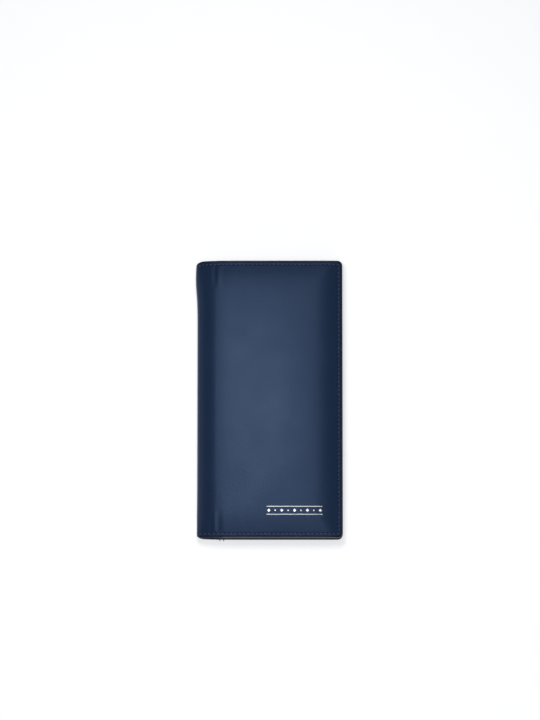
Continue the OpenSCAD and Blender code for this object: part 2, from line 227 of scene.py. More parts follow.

# %% [markdown]
# ## Finishes
# Each finish is a Principled shader whose colour, roughness and bump come from nodes. On leather,
# lining and tape they follow a UV map that holds the flat cut in metres, so the grain runs on round
# the spine as it would on the flat leather. Short helpers keep the node code readable.

# %% Node helpers
def group(name, inputs, outputs):
    """An empty node group with float inputs {name: default}, a Vector input and float outputs."""
    tree = bpy.data.node_groups.new(name, "ShaderNodeTree")
    tree.interface.new_socket("Vector", in_out="INPUT", socket_type="NodeSocketVector")
    for label, value in inputs.items():
        socket = tree.interface.new_socket(label, in_out="INPUT", socket_type="NodeSocketFloat")
        socket.default_value = value
    for label in outputs:
        tree.interface.new_socket(label, in_out="OUTPUT", socket_type="NodeSocketFloat")
    start = tree.nodes.new("NodeGroupInput")
    end = tree.nodes.new("NodeGroupOutput")
    return tree, start, end


def add(tree, kind, settings=None, **sockets):
    """A node of that kind. settings are its properties; each socket gets a value or a link."""
    node = tree.nodes.new(kind)
    for key, value in (settings or {}).items():
        setattr(node, key, value)
    for label, value in sockets.items():
        place = int(label[1:]) if label[0] == "n" and label[1:].isdigit() else label.replace("_", " ")
        if isinstance(value, bpy.types.NodeSocket):
            tree.links.new(value, node.inputs[place])
        else:
            node.inputs[place].default_value = value
    return node


def maths(tree, operation, first, second=0.0):
    """The output of a Math node."""
    return add(tree, "ShaderNodeMath", {"operation": operation}, n0=first, n1=second).outputs[0]


print("node helpers ready")

# %% [markdown]
# What several finishes share is a node group: a pebbled grain for leather, a plain weave for cloth,
# and a slow drift of tone for everything. Each is built once, with its size as an input.

# %% Grain, weave and drift groups
grain, source, sink = group("pebbled_grain", {"Size": 0.0007}, ["Height", "Tone"])
scale = maths(grain, "DIVIDE", 1.0, source.outputs["Size"])
cells = add(grain, "ShaderNodeTexVoronoi", {"feature": "SMOOTH_F1"},
            Vector=source.outputs["Vector"], Scale=scale, Smoothness=0.35)
creases = add(grain, "ShaderNodeTexNoise", Vector=source.outputs["Vector"],
              Scale=maths(grain, "MULTIPLY", scale, 0.4), Detail=4.0)
height = maths(grain, "SUBTRACT", 1.0, cells.outputs["Distance"])
height = maths(grain, "ADD", height, creases.outputs["Fac"])
grain.links.new(height, sink.inputs["Height"])
grain.links.new(cells.outputs["Distance"], sink.inputs["Tone"])

weave, source, sink = group("plain_weave", {"Pitch": 0.0004}, ["Height", "Tone"])
split = add(weave, "ShaderNodeSeparateXYZ", Vector=source.outputs["Vector"])
turns = maths(weave, "DIVIDE", math.pi, source.outputs["Pitch"])
warp = maths(weave, "SINE", maths(weave, "MULTIPLY", split.outputs["X"], turns))
weft = maths(weave, "SINE", maths(weave, "MULTIPLY", split.outputs["Y"], turns))
over = maths(weave, "MULTIPLY", warp, weft)
weave.links.new(maths(weave, "ABSOLUTE", over), sink.inputs["Height"])
weave.links.new(maths(weave, "MULTIPLY_ADD", over, 0.5), sink.inputs["Tone"])

drift, source, sink = group("slow_drift", {"Size": 0.02}, ["Tone"])
cloud = add(drift, "ShaderNodeTexNoise", Vector=source.outputs["Vector"],
            Scale=maths(drift, "DIVIDE", 1.0, source.outputs["Size"]), Detail=3.0)
drift.links.new(cloud.outputs["Fac"], sink.inputs["Tone"])
print("groups", [g.name for g in bpy.data.node_groups])

# %% [markdown]
# One function makes every finish. Leather, lining and tape read their UV map; beads, stitches and
# metal are small, so they read Object coordinates. Dark leather mirrors mostly blue, because the dye
# lies in a clear coat, so its reflections carry a blue tint.

# %% A finish from the groups
PATTERN_SHARE, DRIFT_SHARE = 0.35, 0.8


def finish_of(name, low, high, roughness, pattern, size, bump, flat=True, drift_size=0.02, **fixed):
    """A Principled material. Its colour runs from low to high with the drift and the pattern, and
    its roughness over its own range. bump is the pattern's relief in metres, and fixed sets
    sockets of the shader that are the same all over."""
    material = bpy.data.materials.new(name)
    material.use_nodes = True
    tree = material.node_tree
    shader = tree.nodes["Principled BSDF"]
    if flat:
        place = add(tree, "ShaderNodeUVMap", {"uv_map": "cut"}).outputs["UV"]
    else:
        place = add(tree, "ShaderNodeTexCoord").outputs["Object"]
    look = add(tree, "ShaderNodeGroup", {"node_tree": pattern}, Vector=place)
    look.inputs[1].default_value = size
    slow = add(tree, "ShaderNodeGroup", {"node_tree": drift}, Vector=place, Size=drift_size)
    both = maths(tree, "MULTIPLY_ADD", look.outputs["Tone"], PATTERN_SHARE)
    tree.links.new(maths(tree, "MULTIPLY", slow.outputs["Tone"], DRIFT_SHARE), both.node.inputs[2])
    colour = add(tree, "ShaderNodeMix", {"data_type": "RGBA"}, n0=both, n6=(*low, 1), n7=(*high, 1))
    tree.links.new(colour.outputs[2], shader.inputs["Base Color"])
    rough = add(tree, "ShaderNodeMapRange", Value=both, To_Min=roughness[0], To_Max=roughness[1])
    tree.links.new(rough.outputs[0], shader.inputs["Roughness"])
    relief = add(tree, "ShaderNodeBump", Height=look.outputs["Height"], Distance=bump, Strength=1.0)
    tree.links.new(relief.outputs[0], shader.inputs["Normal"])
    for label, value in fixed.items():
        shader.inputs[label.replace("_", " ")].default_value = value
    return material


print("finish helper ready")

# %% [markdown]
# The finishes themselves: base colours from dark to light, the range of roughness, and the pattern's
# size and relief in metres. The lining and the page leather are duller than the outside.

# %% All the finishes
BLUE_SHEEN = (0.42, 0.60, 1.0, 1)
outer_leather = finish_of("navy_leather", (0.0080, 0.020, 0.053), (0.0120, 0.029, 0.070),
                          (0.30, 0.44), grain, 0.0008, 0.000030, IOR=1.5, Specular_Tint=BLUE_SHEEN)
inner_leather = finish_of("navy_page_leather", (0.008, 0.018, 0.043), (0.012, 0.026, 0.058),
                          (0.42, 0.58), grain, 0.0006, 0.00002, IOR=1.5, Specular_Tint=BLUE_SHEEN)
lining_cloth = finish_of("navy_lining", (0.005, 0.009, 0.022), (0.014, 0.022, 0.05),
                         (0.6, 0.8), weave, 0.0003, 0.00003, Specular_Tint=BLUE_SHEEN)
tape_cloth = finish_of("navy_tape", (0.006, 0.009, 0.020), (0.018, 0.026, 0.05),
                       (0.7, 0.9), weave, 0.0005, 0.00006, Specular_Tint=BLUE_SHEEN)
edge_paint = finish_of("edge_paint", (0.002, 0.003, 0.006), (0.004, 0.006, 0.011),
                       (0.32, 0.44), grain, 0.002, 0.00001, flat=False,
                       Specular_Tint=(0.62, 0.72, 1, 1))
thread = finish_of("navy_thread", (0.04, 0.06, 0.125), (0.07, 0.10, 0.19),
                   (0.45, 0.65), weave, 0.00025, 0.00004, flat=False, drift_size=0.001)
# Near-black painted shade: it stands in for the shadow in the needle holes and under the thread ends at
# the bottom edge. It is not a colour of the leather or the thread.
painted_shade = finish_of("painted_shade", (0.0015, 0.002, 0.004), (0.003, 0.004, 0.007),
                        (0.7, 0.9), grain, 0.0004, 0.00001, flat=False)
foam = finish_of("grey_foam", (0.20, 0.19, 0.18), (0.32, 0.31, 0.29),
                 (0.8, 0.95), grain, 0.001, 0.0001, flat=False)
nickel = finish_of("nickel", (0.60, 0.60, 0.61), (0.74, 0.74, 0.75),
                   (0.14, 0.26), grain, 0.0015, 0.000004, flat=False, Metallic=1.0)
foil = finish_of("silver_foil", (0.84, 0.85, 0.87), (0.94, 0.95, 0.97),
                 (0.36, 0.48), grain, 0.0004, 0.000006, flat=False, Metallic=0.75)
film = finish_of("clear_film", (0.80, 0.82, 0.84), (0.88, 0.90, 0.92),
                 (0.06, 0.14), grain, 0.01, 0.00002, flat=False, Transmission_Weight=1.0, IOR=1.45)
print("finishes", [m.name for m in bpy.data.materials])

# %% [markdown]
# ## The section of the wallet
# Board and foam fill the middle of each cover, so its face is high there and falls to the sewn
# margin, like the side of a bell. Near the spine the face leans into a soft shoulder. The spine is
# one leather bent round: half an ellipse that runs from the back face to the front face. Its ends
# are pinched by the sewing, so there the ellipse is flatter and a little deeper, its edge is drawn
# in, and the leather puckers.

# %% Margins and outline
# A fall is a drop and the length it takes. All are millimetres.
SIDE_FALL, END_FALL = (EDGE_DROP, 7.6), (1.4, 7.0)
FLARE_TOP, FLARE_BOTTOM, DRAW_IN = 1.15, 0.15, 2.5
CROWN, ROLL = 0.8, 0.45
SHOULDER, SHOULDER_LENGTH = 0.75, 6.5
GROOVE, GROOVE_WIDTH = 0.16, 0.55
PUCKER, PUCKER_PITCH = 0.16, 7.2
SPINE_CORNER, SPINE_CORNER_REACH = 7.6, 5.6


def y_end(x):
    """Half the height at x: full height, less the round corner at the right and the drawn-in spine."""
    corner = np.clip(x - (RIGHT - CORNER), 0, CORNER)
    spine = np.clip((SPINE_X - SPINE_CORNER - x) / SPINE_CORNER_REACH, 0, 0.985)
    return (TOP - (CORNER - np.sqrt(CORNER ** 2 - corner ** 2))
            - DRAW_IN * (1 - np.sqrt(1 - spine ** 2)))


def margin(distance, drop, fall):
    """How far the face has fallen at that distance from a sewn edge: a bell's side, drop times e to
    the power of -((distance - 1.5) / fall) ** 1.5, and outside the stitches a roll, ROLL times e to
    the power of -(distance / 1.5) ** 2."""
    bell = drop * np.exp(-(np.clip(distance - 1.5, 0, None) / fall) ** 1.5)
    return bell + ROLL * np.exp(-(np.clip(distance, 0, None) / 1.5) ** 2)


def edge_distance(x, y):
    """Distance to the three sewn edges, whose corners are round."""
    dx, dy = RIGHT - x, TOP - np.abs(y)
    corner = CORNER - np.hypot(np.clip(CORNER - dx, 0, None), np.clip(CORNER - dy, 0, None))
    return np.where((dx < CORNER) & (dy < CORNER), corner, np.minimum(dx, dy))


print("faces fall", SIDE_FALL[0].round(2), "mm at the side and", END_FALL[0], "mm at the ends")

# %% [markdown]
# At the ends of the spine the stitches gather the leather, so it ripples across the bend. The ripple
# is a function of the way along the leather, so it runs on from the spine to the cover unbroken.

# %% Ripples and the cover's face
def pucker(q, v, phase):
    """Ripples across the ends of the spine: a wave along the leather, q, that fades out from the
    sewn end and away from the spine."""
    end = TOP * (1 - np.abs(v))
    window = smooth((end - 2.6) / 2.5) * (1 - smooth((end - 8) / 13))
    window = window * np.exp(-((q - SPINE_X - 2) / 9.5) ** 2)
    uneven = 1.9 * np.sin(q / 4.7 + phase) + phase + 1.7 * np.sign(v)
    wave = np.sin(2 * np.pi * q / PUCKER_PITCH + uneven)
    return PUCKER * window * wave * (0.7 + 0.3 * np.sin(q / 2.3 + 2 * phase))


def face_fall(x, v, phase, crown):
    """How far a cover's outer face lies in from the level of its flat middle."""
    y = v * y_end(x)
    end = TOP * (1 - np.abs(v))
    fall = (margin(RIGHT - x, *SIDE_FALL) ** 4 + margin(end, *END_FALL) ** 4) ** 0.25
    fall = np.minimum(fall, EDGE_DROP + ROLL)
    edge = edge_distance(x, y)
    groove = GROOVE * np.exp(-((edge - STITCH_INSET) / GROOVE_WIDTH) ** 2)
    across = (2 * x - RIGHT - SPINE_X) / (RIGHT - SPINE_X)
    rise = crown * np.clip(1 - across ** 2, 0, None) ** 2 * (1 - v ** 2)
    shoulder = SHOULDER * np.exp(-(x - SPINE_X) / SHOULDER_LENGTH)
    return fall + groove + shoulder - rise - pucker(x, v, phase)


print("ripples of", PUCKER, "mm")

# %% [markdown]
# The spine is half an ellipse at each height. Its axes change towards the ends, and its normal tells
# which way a bead or a stitch on it has to stand.

# %% The spine's ellipse
def spine_axes(v):
    """The spine's half-depth and half-height along the height of the wallet."""
    end = TOP * (1 - np.abs(v))
    flare = np.where(v > 0, FLARE_TOP, FLARE_BOTTOM) * np.exp(-((end - 9) / 14) ** 2)
    groove = GROOVE * np.exp(-((end - STITCH_INSET) / GROOVE_WIDTH) ** 2)
    return SPINE_DEPTH + flare, MIDDLE - margin(end, *END_FALL) - groove - SHOULDER


def spine(angle, v, depth):
    """A point of the spine and its outward normal: half an ellipse from the back face, angle 0, to
    the front face, angle pi, at that depth under the outer face. A little less height between its
    ends and its apex carries on the slope of the covers' shoulders."""
    a, b = spine_axes(v)
    b = b - a * SHOULDER / SHOULDER_LENGTH * np.sin(angle) * np.abs(np.cos(angle))
    x = SPINE_X - (a - depth) * np.sin(angle)
    z = MIDDLE - (b - depth) * np.cos(angle)
    normal = np.stack([-np.sin(angle) / a, 0 * x, -np.cos(angle) / b], axis=-1)
    normal /= np.linalg.norm(normal, axis=-1, keepdims=True)
    q = SPINE_X - a * np.minimum(angle, np.pi - angle)
    phase = np.where(angle < np.pi / 2, 0.4, 2.1)
    point = np.stack([x, v * y_end(x), z], axis=-1)
    return point + normal * pucker(q, v, phase)[..., None], normal


print("spine", round(2 * MIDDLE, 2), "mm thick at most,", SPINE_DEPTH, "mm deep")

# %% [markdown]
# ## Outer leather
# One piece of leather covers the back, the spine and the front. In the frame it is parted at three
# folds. Here each cover is a rigid wall on its half, and between them lie three zones of the spine,
# which ride on no body and don't bend. Neighbouring zones meet at a level that is the same all
# along the wallet.

# %% Covers
V = packed(-1, 1, 261, 0.75)
X = packed(SPINE_X, RIGHT, 111, 0.75)
SIDES = {"back": (-1, 0.4, 0.0), "front": (1, 2.1, CROWN)}


def cover_points(x, v, side, depth):
    """A point of a cover, back or front, at that depth under its outer face."""
    sign, phase, crown = SIDES[side]
    level = face_fall(x, v, phase, crown) + depth
    return np.stack([x + 0 * v, v * y_end(x), MIDDLE + sign * (MIDDLE - level)], axis=-1)


xx, vv = np.meshgrid(X, V, indexing="ij")
cut = np.stack([xx, vv * TOP], axis=-1)
covers = {}
for side in SIDES:
    laid = cut if side == "back" else cut * [-1, 1] + [2 * SPINE_X - ROUND_SPINE, 0]
    covers[side] = shell(f"{side}_cover_leather", cover_points(xx, vv, side, 0),
                         cover_points(xx, vv, side, LEATHER), outer_leather, laid)
    body(covers[side], f"{side}_half", "outer_leather", f"{side}_cover")
print("covers", [len(p.data.polygons) for p in covers.values()])

# %% [markdown]
# Each zone is a patch of the spine between two angles, with a lining under it. The angles are chosen
# so that the border between two zones lies at one level all along the wallet, on a fold's far side.

# %% Zones of the spine
FOLD_LEVEL = 5.5
ROWS = 22
ZONES = {1: ("back_half", "spine_back"), 2: ("spine_back", "spine_front"),
         3: ("spine_front", "front_half")}


def zone_angles(zone, v, depth):
    """The angles where a zone starts and ends at that depth: it ends where the leather reaches
    FOLD_LEVEL above the back face, or as far below the front face."""
    b = spine_axes(v)[1]
    low = np.arccos(np.clip((MIDDLE - FOLD_LEVEL) / (b - depth), -1, 1))
    return {1: (0 * low, low), 2: (low, np.pi - low), 3: (np.pi - low, np.pi + 0 * low)}[zone]


def zone_grid(zone, depth, v=V):
    """A zone's points at that depth, with rows packed towards its two borders."""
    first, last = zone_angles(zone, v, depth)
    t = packed(0, 1, ROWS)[:, None]
    angle = first + (last - first) * t
    return spine(angle, v + 0 * angle, depth)[0]


print("zones", list(ZONES))

# %% [markdown]
# Each zone has a line from where a piece would still follow the first body to where it would
# wholly follow the second, the same for every piece in a zone, leather, lining, bead or stitch.
# No `blend` is made from it, so the pieces of the zones don't bend.

# %% Bend lines
LEAN, BEND_FROM, BEND_REACH = np.array([-0.913, 0, 0.407]), 0.7, 11.2
ZONE_BEGIN = {1: 0.0, 2: 13.8, 3: 19.2}


def bend(piece, zone, slot, *nodes):
    """Works out the zone's line from start to end, the same in every layer: an outer zone's runs along
    LEAN, its chord, and the middle zone's from one border straight up. Nothing reads the line and the
    piece does not bend: its transform is baked into its mesh and the CAD nodes are hidden."""
    start = np.array([SPINE_X, 0, 0]) + BEND_FROM * LEAN
    end = start + BEND_REACH * LEAN
    if zone == 2:
        start = np.array([SPINE_X - SPINE_DEPTH, 0, FOLD_LEVEL])
        end = start * [1, 1, 0] + [0, 0, THICK - FOLD_LEVEL]
    if zone == 3:
        start, end = [p * [1, 1, -1] + [0, 0, THICK] for p in (end, start)]
    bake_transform(piece)
    if nodes:
        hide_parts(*nodes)
    return piece


def zone_cut(zone, points):
    """Places on the flat leather: the distance gone round the spine, and the height. A zone goes
    on about where the one before it stopped, so the grain runs through."""
    step = np.linalg.norm(np.diff(points[..., [0, 2]], axis=0), axis=-1)
    gone = np.concatenate([0 * step[:1], np.cumsum(step, axis=0)])
    return np.stack([SPINE_X - ZONE_BEGIN[zone] - gone, points[..., 1]], axis=-1)


print("bending along", LEAN)

# %% [markdown]
# Each zone gets a wall of leather and a wall of lining. The lining is a sheet, and its flat width is
# measured round the bend.

# %% Leather and lining of the zones
for zone in ZONES:
    outer, inner = zone_grid(zone, 0), zone_grid(zone, LEATHER)
    leather = shell(f"spine_leather_{zone}", outer, inner, outer_leather, zone_cut(zone, outer))
    nodes = {1: ["spine_leather_back"], 2: [], 3: ["spine_leather_front"]}[zone]
    bend(leather, zone, "outer_leather", *nodes)
    top, under = zone_grid(zone, LEATHER + 0.02), zone_grid(zone, LEATHER + LINING)
    cloth = shell(f"spine_lining_{zone}", top, under, lining_cloth, zone_cut(zone, top))
    nodes = {1: ["spine_lining_back"], 2: [], 3: ["spine_lining_front"]}[zone]
    bend(cloth, zone, "lining", *nodes)

# %% [markdown]
# ## Painted edges
# Where leather, lining and page are sewn together, their cut edges are sanded and painted black: a
# rounded bead that stands a little proud. It is one profile, a squared ellipse, carried round the
# edge of each half. Over the spine only leather and lining are cut, so the bead gets lower there.

# %% The bead round each half
def bead_profile(wide, high, count=14):
    """Points round a squared ellipse: each coordinate is a cosine or sine to the power 0.82."""
    t = np.linspace(0, 2 * np.pi, count, endpoint=False)
    return np.stack([wide * squared(np.cos(t), 0.82), high * squared(np.sin(t), 0.82)], axis=-1)


def level_at(side, x, y):
    """The height of a cover's outer face at x and y."""
    sign, phase, crown = SIDES[side]
    return MIDDLE + sign * (MIDDLE - face_fall(x, y / y_end(x), phase, crown))


def edge_path(inset, spacing=0.7):
    """Points and outward directions along the sewn edge at that inset: along the top from the
    spine, round the corner, down the right side, round and back along the bottom."""
    radius = max(CORNER - inset, 0.01)
    centre_x, centre_y = RIGHT - CORNER, TOP - CORNER
    along = np.arange(SPINE_X, centre_x, spacing)
    turn = np.linspace(np.pi / 2, 0, 13)
    down = np.arange(centre_y, 0, -spacing)[1:]
    top = np.stack([along, 0 * along + TOP - inset, 0 * along, 0 * along + 1], axis=-1)
    bow = np.stack([centre_x + radius * np.cos(turn), centre_y + radius * np.sin(turn),
                    np.cos(turn), np.sin(turn)], axis=-1)
    side = np.stack([0 * down + RIGHT - inset, down, 0 * down + 1, 0 * down], axis=-1)
    half = np.concatenate([top, bow, side])
    return np.concatenate([half, half[::-1] * [1, -1, 1, -1]])


print("bead profile ready")

# %% [markdown]
# Along the sewn edge the bead is as tall as leather, lining and page together, and towards the spine
# it shrinks to leather and lining. Each half gets one bead.

# %% Beads along the sewn edges
BEAD_INSET, BEAD_REACH, BEAD_HALF, BEAD_DEPTH, BEAD_RISE = 0.45, 0.72, 0.84, 0.75, 0.5
bead_path = edge_path(BEAD_INSET)
full = smooth((bead_path[:, 0] - SPINE_X) / 5)
unit = bead_profile(1, 1)
for side, (sign, _, _) in SIDES.items():
    reach = unit[None, :, 0] * BEAD_REACH
    rim = MIDDLE - sign * (level_at(side, bead_path[:, 0], bead_path[:, 1]) - MIDDLE)
    stack = (PAGE_FACE + 0.06 - rim + BEAD_RISE) / 2
    half_high = BEAD_HALF + (stack - BEAD_HALF) * full
    centre_depth = rim + BEAD_DEPTH + (stack - BEAD_RISE - BEAD_DEPTH) * full
    level = centre_depth[:, None] + half_high[:, None] * unit[None, :, 1]
    rings = np.stack([bead_path[:, None, 0] + bead_path[:, None, 2] * reach,
                      bead_path[:, None, 1] + bead_path[:, None, 3] * reach,
                      MIDDLE + sign * (MIDDLE - level)], axis=-1)
    bead = tube(f"{side}_edge_paint", rings, edge_paint)
    body(bead, f"{side}_half", "outer_leather")
print("edge path", len(bead_path), "rings")

# %% [markdown]
# Over the spine the bead follows the ellipse, one stretch in each zone.

# %% The bead over the spine's ends
SPINE_BEAD_REACH = 0.66


def spine_path(zone, inset, end, count=24):
    """Points and normals across a zone along one end of the spine, at that inset from its edge."""
    v = end * np.full(count, 1 - inset / TOP)
    first, last = zone_angles(zone, v, 0)
    return spine(first + (last - first) * np.linspace(0, 1, count), v, 0)


for zone in ZONES:
    for end, place in ((1, "top"), (-1, "bottom")):
        points, normal = spine_path(zone, BEAD_INSET, end)
        reach = np.array([0, end, 0]) * unit[None, :, :1] * SPINE_BEAD_REACH
        rings = (points - normal * BEAD_DEPTH)[:, None] + reach
        rings = rings + normal[:, None] * unit[None, :, 1:] * BEAD_HALF
        bend(tube(f"spine_edge_paint_{place}_{zone}", rings, edge_paint), zone, "outer_leather")
print("beads over the spine", 2 * len(ZONES))

# %% [markdown]
# ## Sewing
# One stitch is a short thread that rises from one needle hole and dives into the next. Each lies
# slanted, as a sewing machine's stitches do, and between two of them the hole is a flat near-black
# lens, painted shade for the shadow in its pit.
# There are hundreds, so a stitch has only a few dozen faces, and one array operation places a row.

# %% A stitch and a needle hole
THREAD_RADIUS, STITCH_RISE, STITCH_DIVE = 0.27, 0.16, 0.30
HOLE_LONG, HOLE_WIDE = 0.54, 0.32


def stitch_shape():
    """A bowed capsule: six-sided rings along x whose radius shrinks at both ends, and whose middle
    line is an arch, STITCH_RISE less STITCH_DIVE times the square of the way from its middle."""
    t = np.linspace(-1, 1, 6)
    radius = THREAD_RADIUS * np.sqrt(np.clip(1.06 - t ** 4, 0, 1))
    turn = np.linspace(0, 2 * np.pi, 6, endpoint=False)
    ring = np.stack([np.cos(turn), np.sin(turn)], axis=-1)
    points = np.concatenate([np.repeat(t[:, None, None] * 1.02, 6, axis=1),
                             ring[None] * radius[:, None, None]], axis=-1)
    points[..., 2] += STITCH_RISE - STITCH_DIVE * t[:, None] ** 2
    caps = [np.arange(6)[None, :], np.arange(6)[None, ::-1] + 30]
    return points.reshape(-1, 3), [grid_faces(6, 6, wrap=True), *caps]


def hole_shape():
    """A flat lens, longer along x, that carries the painted shade of a needle hole's pit: a ring of
    eight points between a point above and below.
    """
    turn = np.linspace(0, 2 * np.pi, 8, endpoint=False)
    ring = np.stack([HOLE_LONG * np.cos(turn), HOLE_WIDE * np.sin(turn), 0 * turn], axis=-1)
    points = np.concatenate([ring, [[0, 0, 0.05], [0, 0, -0.2]]])
    k = np.arange(8)
    after = (k + 1) % 8
    return points, [np.stack([k, after, 0 * k + 8], axis=-1), np.stack([after, k, 0 * k + 9], axis=-1)]


print("stitch and hole shapes ready")

# %% [markdown]
# A row follows any line of points on a surface. Stitches sit half a step on, holes a whole step, and
# each stands on the surface's normal.

# %% A row of sewing
STITCH, HOLE = stitch_shape(), hole_shape()
SLANT, STITCH_SHIFT, HOLE_SHIFT, HOLE_ASIDE, GLANCE = math.radians(17), 0.5, 0.98, 0.2, 0.3


def sew(name, points, normal):
    """A row of stitches and a row of holes along a line of points on a surface with normals.
    Places are even steps of its length, near PITCH, and the way ahead is the difference between
    two points GLANCE before and after each place."""
    step = np.linalg.norm(np.diff(points, axis=0), axis=1)
    gone = np.concatenate([[0], np.cumsum(step)])
    count = max(1, round(gone[-1] / PITCH))
    pieces = []
    # The holes are flat lenses in near-black painted shade, for the shadow in each pit.
    for shape, material, shift, word in ((STITCH, thread, STITCH_SHIFT, "stitches"),
                                         (HOLE, painted_shade, HOLE_SHIFT, "holes")):
        places = (np.arange(count) + shift) * gone[-1] / count
        at = np.stack([np.interp(places, gone, points[:, k]) for k in range(3)], axis=-1)
        up = np.stack([np.interp(places, gone, normal[:, k]) for k in range(3)], axis=-1)
        ahead = np.stack([np.interp(places + GLANCE, gone, points[:, k])
                          - np.interp(places - GLANCE, gone, points[:, k])
                          for k in range(3)], axis=-1)
        up /= np.linalg.norm(up, axis=1, keepdims=True)
        ahead /= np.linalg.norm(ahead, axis=1, keepdims=True)
        beside = np.cross(up, ahead)
        along = ahead * math.cos(SLANT) - beside * math.sin(SLANT)
        across = np.cross(up, along)
        if word == "holes":
            at = at - beside * HOLE_ASIDE
        pieces.append(scatter(f"{name}_{word}", *shape, at, along, across, up, material))
    return pieces


print("rows are sewn", PITCH, "mm a stitch")

# %% [markdown]
# One row runs round each cover at the same inset as the groove in its face, and short rows carry on
# over the ends of the spine, zone by zone.

# %% Rows on the covers and the spine
seam = edge_path(STITCH_INSET)
for side, (sign, _, _) in SIDES.items():
    line = np.stack([seam[:, 0], seam[:, 1], level_at(side, seam[:, 0], seam[:, 1])], axis=-1)
    if side == "back":
        line = line[::-1]
    up = np.zeros_like(line) + [0, 0, sign]
    for piece in sew(f"{side}_cover", line, up):
        body(piece, f"{side}_half", "thread", *([f"{side}_thread"] if "stitches" in piece.name else []))

for zone in ZONES:
    for end, place in ((1, "top"), (-1, "bottom")):
        points, normal = spine_path(zone, STITCH_INSET, end)
        if end == -1:
            points, normal = points[::-1], normal[::-1]
        for piece in sew(f"spine_{place}_{zone}", points[::-1], normal[::-1]):
            nodes = {1: ["spine_thread_back"], 3: ["spine_thread_front"]}.get(zone, [])
            bend(piece, zone, "thread", *(nodes if "stitches" in piece.name and end == 1 else []))
print("stitches sewn")

# %% [markdown]
# ## Padding and lining of the covers
# Behind each cover lie board and foam, and over them a lining of woven cloth. The pad is a crowned
# closed form, thin at its rim. The lining follows the leather at the margins and the pad between.

# %% Pads and linings
PAD, PAD_RIM, PAD_SLOPE, PAD_SPINE_SLOPE = 1.2, 5, 10, 7


def pad_at(x, v):
    """The pad's thickness: it rises from nothing over the slope beside each sewn edge and spine."""
    end = TOP * (1 - np.abs(v))
    sewn = smooth((RIGHT - x - PAD_RIM) / PAD_SLOPE) * smooth((end - PAD_RIM) / PAD_SLOPE)
    return PAD * sewn * smooth((x - SPINE_X) / PAD_SPINE_SLOPE)


xs, vs = np.meshgrid(packed(SPINE_X, RIGHT - 0.5, 50), packed(-0.995, 0.995, 90), indexing="ij")
lining_cut = np.stack([xs, vs * TOP], axis=-1)
pad_x, pad_v = np.meshgrid(packed(SPINE_X + 1.5, RIGHT - 6.5, 50), packed(-0.92, 0.92, 90),
                           indexing="ij")
for side, (sign, _, _) in SIDES.items():
    under = cover_points(pad_x, pad_v, side, LEATHER + 0.02)
    over = under - [0, 0, sign] * np.clip(pad_at(pad_x, pad_v) - 0.04, 0.02, None)[..., None]
    pad = shell(f"{side}_cover_pad", under, over, foam)
    body(pad, f"{side}_half", "padding", f"{side}_padding")
    below = cover_points(xs, vs, side, LEATHER + 0.02)
    below = below - [0, 0, sign] * pad_at(xs, vs)[..., None]
    cloth = shell(f"{side}_lining_cloth", below, below - [0, 0, sign * (LINING - 0.02)],
                  lining_cloth, lining_cut)
    body(cloth, f"{side}_half", "lining", f"{side}_lining")
print("pads and linings made")

# %% [markdown]
# ## Pages
# Inside each half a leather page is sewn in on three sides. Its fourth edge, beside the spine, is
# free, so a note slides in behind it. That edge is painted and has a pressed line beside it, and it
# is cut back at its ends to leave the spine room to close.

# %% Page panels
FREE_EDGE_CUT = 7.5


def inward(side, x, y, level):
    """A point at that level in from a half's outer face."""
    sign = SIDES[side][0]
    return np.stack([x + 0 * y, y + 0 * x, MIDDLE + sign * (MIDDLE - level) + 0 * x], axis=-1)


def page_start(v):
    """Where the page's free edge lies along the height: nearly straight, drawn in at its ends."""
    return PAGE_LEFT + FREE_EDGE_CUT * smooth((np.abs(v) - 0.84) / 0.16) ** 1.5


row = packed(-1, 1, 140)
share, v = np.meshgrid(packed(0, 1, 70), row, indexing="ij")
page_x = page_start(v) + share * (RIGHT - 0.4 - page_start(v))
page_y = v * (y_end(np.maximum(page_x, SPINE_X)) - 0.4)
free = page_x - page_start(v)
PRESS_DEPTH, PRESS_PLACE, PRESS_WIDTH, ROUND_OFF = 0.12, 2.2, 0.25, 0.35
press = PRESS_DEPTH * np.exp(-((free - PRESS_PLACE) / PRESS_WIDTH) ** 2)
round_off = ROUND_OFF * np.exp(-(free / ROUND_OFF) ** 2)
for side in SIDES:
    base = inward(side, page_x, page_y, PAGE_BASE + 0.04 + round_off)
    face = inward(side, page_x, page_y, PAGE_FACE - press - round_off)
    page = shell(f"{side}_page", base, face, inner_leather, np.stack([page_x, page_y], axis=-1))
    body(page, f"{side}_half", "inner_leather", f"{side}_page_panel")
    turn = np.linspace(0, 2 * np.pi, 10, endpoint=False)
    edge_v = np.linspace(-0.985, 0.985, 80)[:, None]
    edge_y = edge_v * (TOP - 0.4) + 0 * turn
    level = (PAGE_BASE + PAGE_FACE) / 2 + 0.53 * np.sin(turn) + 0 * edge_y
    rings = inward(side, page_start(edge_v) + 0.22 + 0.36 * np.cos(turn), edge_y, level)
    body(tube(f"{side}_page_edge_paint", rings, edge_paint), f"{side}_half", "inner_leather")
print("page from", round(PAGE_LEFT, 1), "to", RIGHT)

# %% [markdown]
# ## Card pockets
# A card pocket is a strip of thin leather whose top edge is turned over and pressed, so it shows as a
# soft, thicker band with a pressed line under it. The strips lie like roof tiles, each over the foot
# of the one above. The section across a strip is the same all the way along, so it is drawn once as
# a closed outline and carried from left to right, where it bows very slightly.

